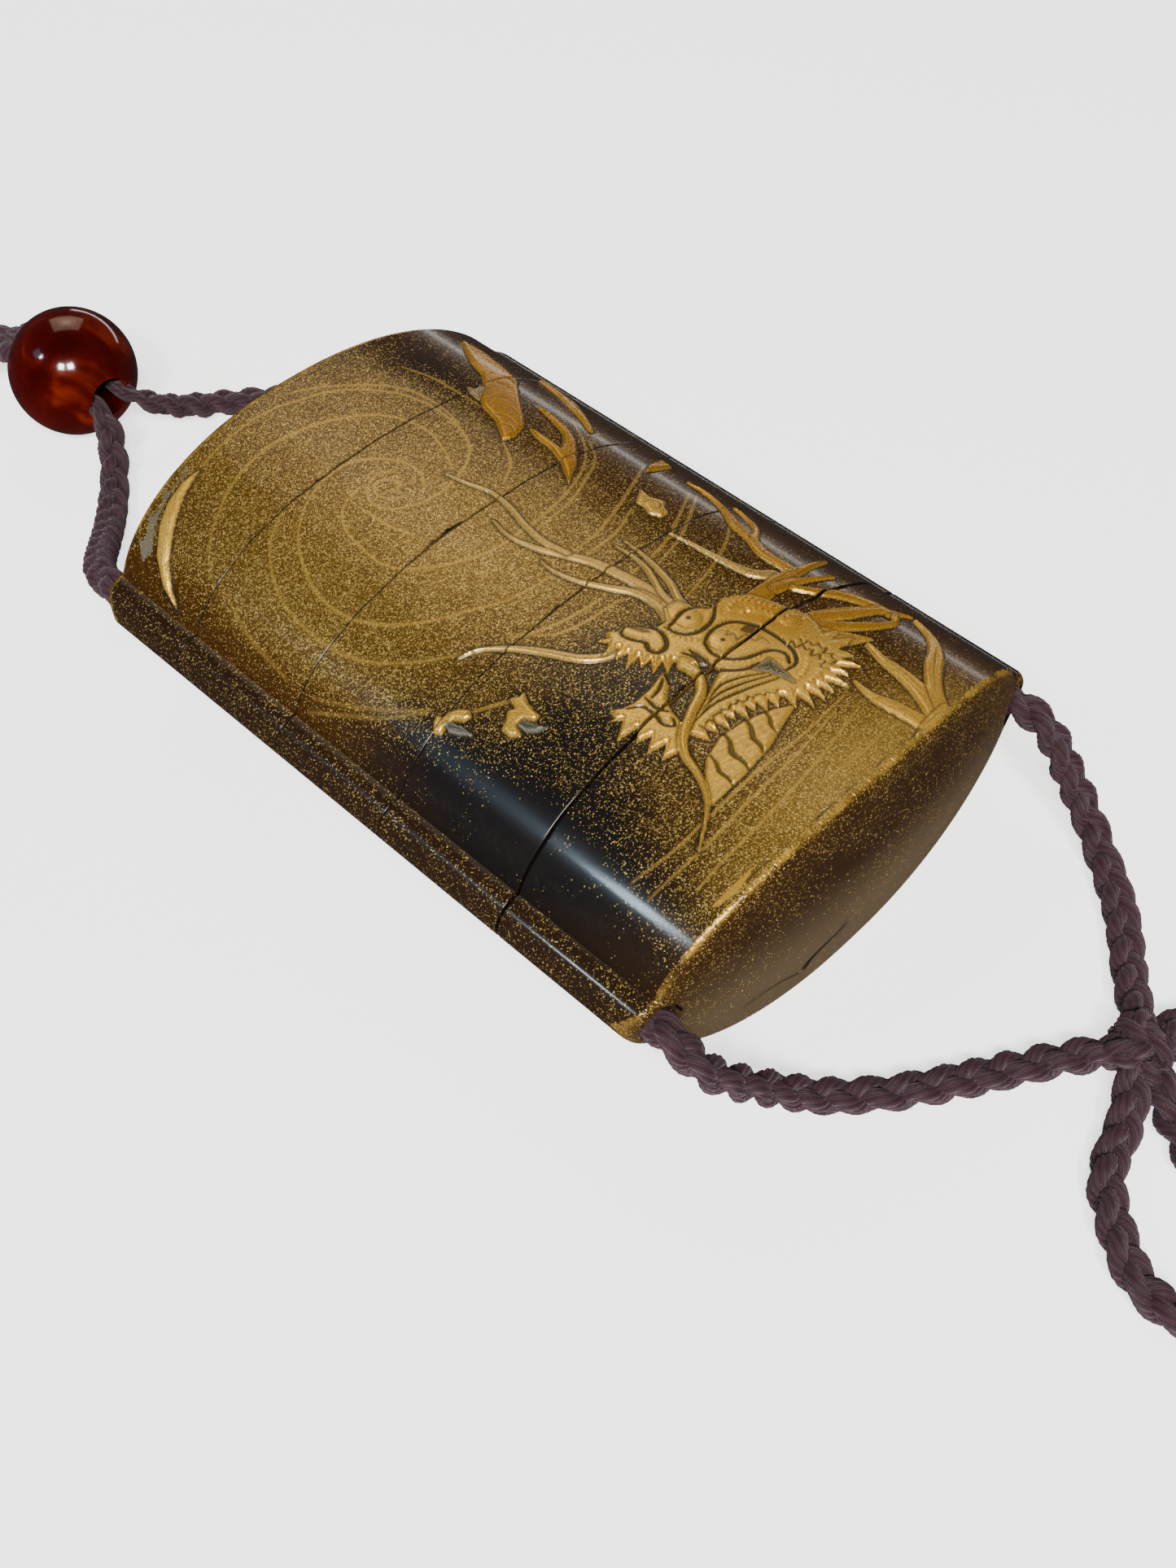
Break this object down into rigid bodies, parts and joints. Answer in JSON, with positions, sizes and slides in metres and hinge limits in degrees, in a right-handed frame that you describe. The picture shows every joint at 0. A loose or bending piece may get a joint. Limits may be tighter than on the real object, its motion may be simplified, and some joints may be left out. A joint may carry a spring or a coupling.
{
  "type": "inro case",
  "caption": "Small stacked lacquer case with cord runners down its sides, a raised gold dragon, a silk cord, a bead and a bow knot.",
  "frame": {"origin": "under the middle of the case, on the surface that it lies on with its back down", "axes": "+Y from the base to the lid, +Z out of the decorated front, +X across the case"},
  "size_m": [0.0616, 0.2274, 0.0273],
  "materials": {
    "lacquer": "glossy brown-black lacquer over thin wood, densely sprinkled with gold, with raised gold lacquer on the front",
    "carnelian": "polished deep red-brown stone, slightly see-through, with orange bands",
    "silk": "plaited plum-brown silk threads"
  },
  "bodies": {
    "root": {"lid": "lacquer", "tray_1": "lacquer", "tray_2": "lacquer", "tray_3": "lacquer", "base": "lacquer", "ojime_bead": "carnelian", "cord_near": "silk", "cord_far": "silk", "cord_bight": "silk", "cord_knot": "silk", "cord_bow_1": "silk", "cord_bow_2": "silk"}
  },
  "joints": []
}
